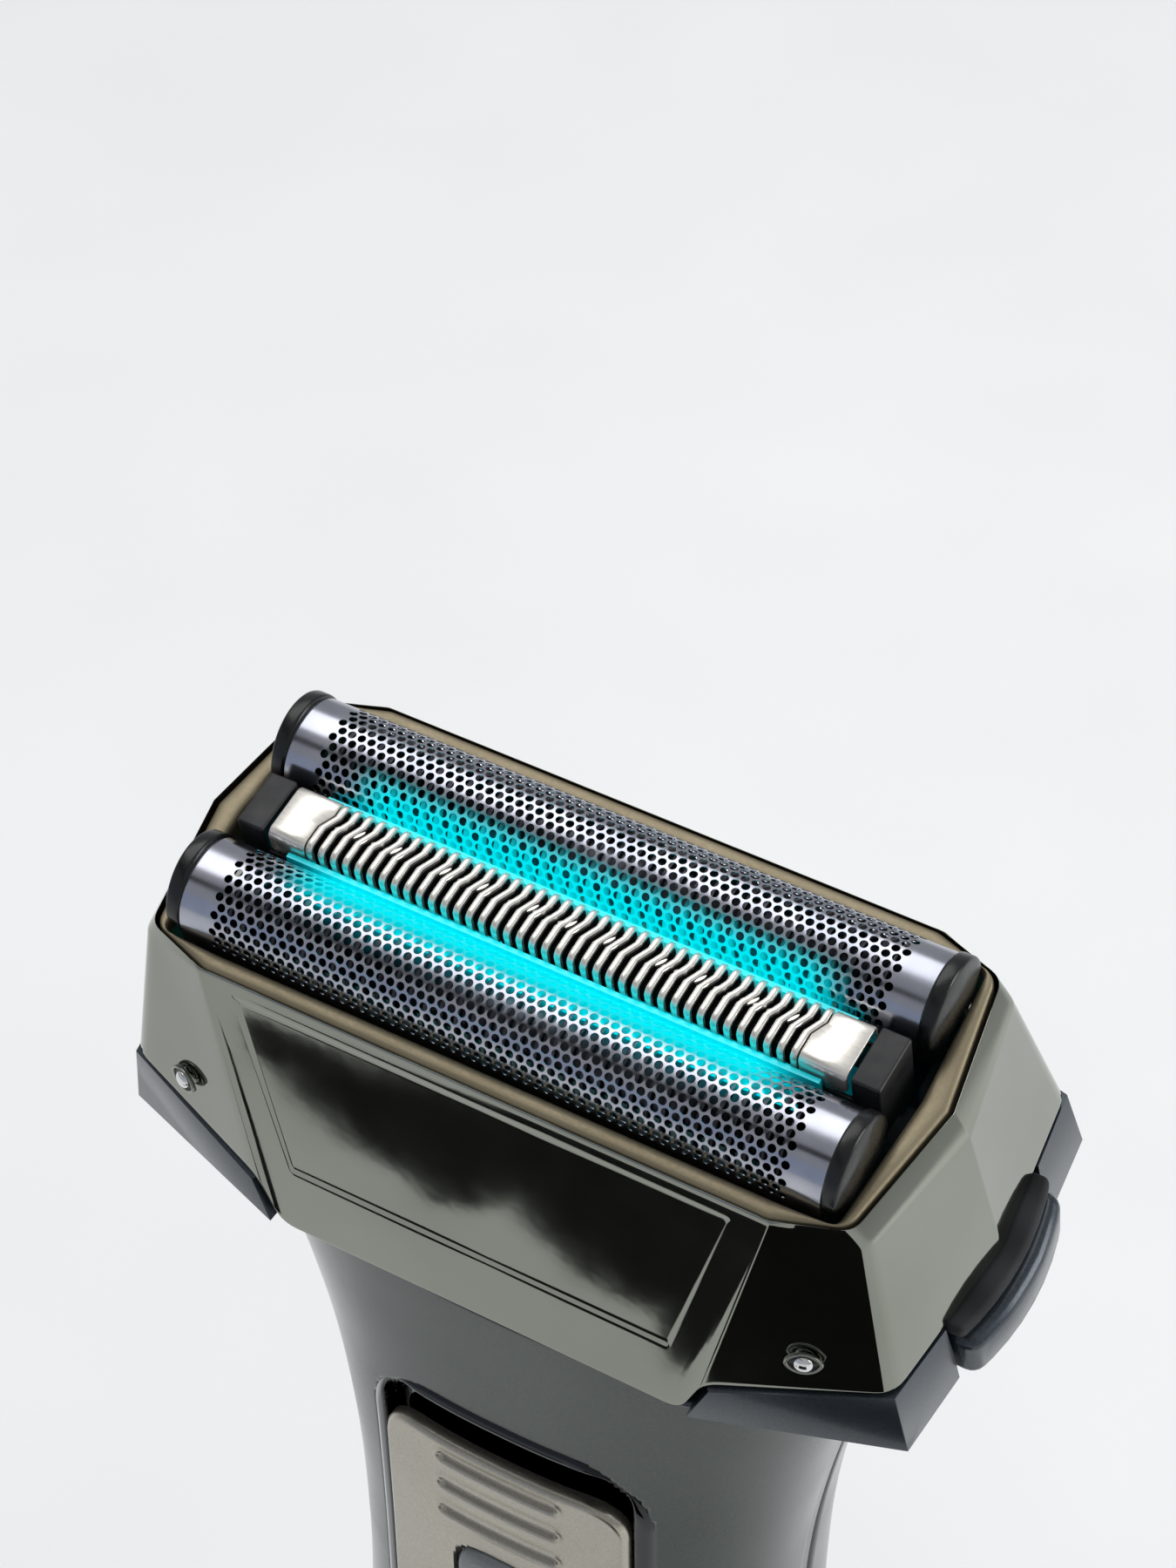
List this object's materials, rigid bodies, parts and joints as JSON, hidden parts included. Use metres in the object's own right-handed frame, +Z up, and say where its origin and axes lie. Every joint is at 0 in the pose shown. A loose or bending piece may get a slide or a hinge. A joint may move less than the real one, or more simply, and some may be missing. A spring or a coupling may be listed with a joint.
{
  "type": "electric shaver",
  "caption": "Foil shaver with a forward-leaning lift-off head, sprung floating foils and centre trimmer, side release buttons, locking slide switch and flip-out rear trimmer.",
  "frame": {"origin": "middle of the flat base face that the shaver stands on, on the handle's axis", "axes": "+Z up the handle towards the head, -Y the switch side, X along the foils"},
  "size_m": [0.062, 0.0327, 0.159],
  "materials": {
    "foil_steel": "polished thin sheet, etched holes",
    "comb_steel": "satin ground",
    "cutter_steel": "ground",
    "spring_steel": "drawn wire",
    "gunmetal_plate": "vapour-plated gunmetal, high gloss",
    "champagne_anodised": "satin champagne",
    "band_blue": "satin blue-grey paint",
    "base_plastic": "satin moulded",
    "handle_paint": "satin metallic grey-green",
    "popup_paint": "satin moulded",
    "switch_plate_metal": "satin champagne-silver",
    "black_gloss": "black chrome gloss",
    "cap_black": "satin black",
    "frame_black": "satin black",
    "lock_grey": "satin grey",
    "pad_rubber": "fine ribbed",
    "seal_rubber": "matte",
    "chrome": "mirror",
    "light_guide": "lit acrylic",
    "nylon": "moulded acetal",
    "board": "solder mask",
    "brass": "plated",
    "battery_wrap": "shrink wrap",
    "motor_can": "zinc plated"
  },
  "bodies": {
    "handle": {"body_front_shell": "handle_paint", "body_rear_shell": "handle_paint", "base_cap": "base_plastic", "case_screw_left": "chrome", "case_screw_right": "chrome", "inlet_socket": "frame_black", "inlet_pin_left": "brass", "inlet_pin_right": "brass", "battery_cell": "battery_wrap", "circuit_board": "board", "motor_case": "motor_can", "motor_bracket": "nylon", "neck_seal": "seal_rubber", "head_base": "band_blue", "switch_surround": "black_gloss", "popup_housing": "popup_paint", "popup_axle": "chrome"},
    "power_switch": {"switch_plate": "switch_plate_metal"},
    "lock_button": {"lock_button": "lock_grey"},
    "release_left": {"release_button_left": "band_blue", "release_pad_left": "pad_rubber", "button_spring_left": "spring_steel"},
    "release_right": {"release_button_right": "band_blue", "release_pad_right": "pad_rubber", "button_spring_right": "spring_steel"},
    "cassette": {"head_housing": "gunmetal_plate", "foil_ring": "champagne_anodised", "cassette_frame": "frame_black", "dome_pin_front_left": "chrome", "dome_pin_front_right": "chrome", "dome_pin_rear_left": "chrome", "dome_pin_rear_right": "chrome", "light_guide_front": "light_guide", "light_guide_rear": "light_guide"},
    "foil_front": {"foil_front": "foil_steel", "foil_cap_front_left": "cap_black", "foil_cap_front_right": "cap_black"},
    "foil_rear": {"foil_rear": "foil_steel", "foil_cap_rear_left": "cap_black", "foil_cap_rear_right": "cap_black"},
    "trimmer": {"trimmer_comb": "comb_steel", "trimmer_frame": "frame_black"},
    "trimmer_cutter": {"trimmer_cutter": "cutter_steel"},
    "drive": {"drive_yoke": "nylon", "blade_spring_front": "spring_steel", "blade_spring_rear": "spring_steel"},
    "blade_front": {"inner_blade_front": "cutter_steel", "blade_holder_front": "nylon"},
    "blade_rear": {"inner_blade_rear": "cutter_steel", "blade_holder_rear": "nylon"},
    "popup_arm": {"popup_arm": "frame_black", "popup_comb": "comb_steel"},
    "popup_cutter": {"popup_cutter": "cutter_steel"},
    "popup_latch": {"popup_latch": "frame_black"}
  },
  "joints": [
    {"name": "power_switch_slide", "type": "slide", "parent": "handle", "child": "power_switch", "axis": [0, 0, 1], "range_m": [0, 0.003]},
    {"name": "lock_button_press", "type": "slide", "parent": "power_switch", "child": "lock_button", "axis": [0, 1, 0], "range_m": [0, 0.0008], "stiffness_N_per_m": 400, "springref_m": -0.0005},
    {"name": "release_left_press", "type": "slide", "parent": "handle", "child": "release_left", "axis": [1, 0, 0], "range_m": [0, 0.0015], "stiffness_N_per_m": 800, "springref_m": -0.001},
    {"name": "release_right_press", "type": "slide", "parent": "handle", "child": "release_right", "axis": [-1, 0, 0], "range_m": [0, 0.0015], "stiffness_N_per_m": 800, "springref_m": -0.001},
    {"name": "cassette_lift", "type": "slide", "parent": "handle", "child": "cassette", "axis": [0, -0.2079, 0.9781], "range_m": [0, 0.025]},
    {"name": "foil_front_float", "type": "slide", "parent": "cassette", "child": "foil_front", "axis": [0, 0.2079, -0.9781], "range_m": [0, 0.002], "stiffness_N_per_m": 500, "springref_m": -0.001},
    {"name": "foil_rear_float", "type": "slide", "parent": "cassette", "child": "foil_rear", "axis": [0, 0.2079, -0.9781], "range_m": [0, 0.002], "stiffness_N_per_m": 500, "springref_m": -0.001},
    {"name": "trimmer_float", "type": "slide", "parent": "cassette", "child": "trimmer", "axis": [0, 0.2079, -0.9781], "range_m": [0, 0.0015], "stiffness_N_per_m": 500, "springref_m": -0.001},
    {"name": "drive_slide", "type": "slide", "parent": "handle", "child": "drive", "axis": [1, 0, 0], "range_m": [-0.001, 0.001], "stiffness_N_per_m": 800},
    {"name": "trimmer_cutter_slide", "type": "slide", "parent": "trimmer", "child": "trimmer_cutter", "axis": [1, 0, 0], "range_m": [-0.001, 0.001]},
    {"name": "blade_front_drop", "type": "slide", "parent": "drive", "child": "blade_front", "axis": [0, 0.2079, -0.9781], "range_m": [0, 0.002], "deforming": ["blade_spring_front"]},
    {"name": "blade_rear_drop", "type": "slide", "parent": "drive", "child": "blade_rear", "axis": [0, 0.2079, -0.9781], "range_m": [0, 0.002], "deforming": ["blade_spring_rear"]},
    {"name": "popup_swing", "type": "hinge", "parent": "handle", "child": "popup_arm", "pos_m": [0, 0.01515, 0.0952], "axis": [-1, 0, 0], "range_deg": [0, 80]},
    {"name": "popup_cutter_slide", "type": "slide", "parent": "popup_arm", "child": "popup_cutter", "axis": [1, 0, 0], "range_m": [-0.0006, 0.0006]},
    {"name": "popup_latch_slide", "type": "slide", "parent": "handle", "child": "popup_latch", "axis": [0, 0, -1], "range_m": [0, 0.0018], "stiffness_N_per_m": 400, "springref_m": -0.0005}
  ],
  "couplings": [
    {"joint": "trimmer_cutter_slide", "follows": "drive_slide", "ratio": 1},
    {"joint": "popup_cutter_slide", "follows": "drive_slide", "ratio": 0.6},
    {"joint": "blade_front_drop", "follows": "foil_front_float", "ratio": 1},
    {"joint": "blade_rear_drop", "follows": "foil_rear_float", "ratio": 1}
  ]
}
